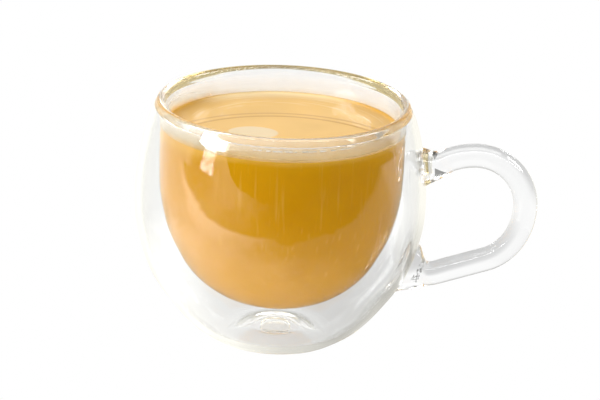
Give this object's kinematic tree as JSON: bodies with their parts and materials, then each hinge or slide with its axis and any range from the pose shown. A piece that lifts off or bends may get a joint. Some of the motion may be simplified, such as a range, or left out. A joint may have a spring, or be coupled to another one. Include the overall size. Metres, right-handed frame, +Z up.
{
  "type": "masala chai in a double-walled glass cup",
  "caption": "Milky spiced tea filling a round double-walled clear glass cup with a rod loop handle and a low foot ring.",
  "frame": {"origin": "centre of the whole part's box, on the surface the cup stands on; the cup's own axis is at x = -0.0176 m", "axes": "+X from the cup towards its handle, +Z up out of the cup's mouth, +Y across"},
  "size_m": [0.127, 0.0918, 0.078],
  "materials": {
    "clear_glass": "clear polished glass",
    "milky_tea": "still milky tea, glossy on top",
    "tea_froth": "fine milk froth",
    "clear_silicone": "soft clear plug"
  },
  "bodies": {
    "root": {"glass_cup": "clear_glass", "chai": "milky_tea", "froth_ring": "tea_froth", "vent_seal": "clear_silicone"}
  },
  "joints": []
}
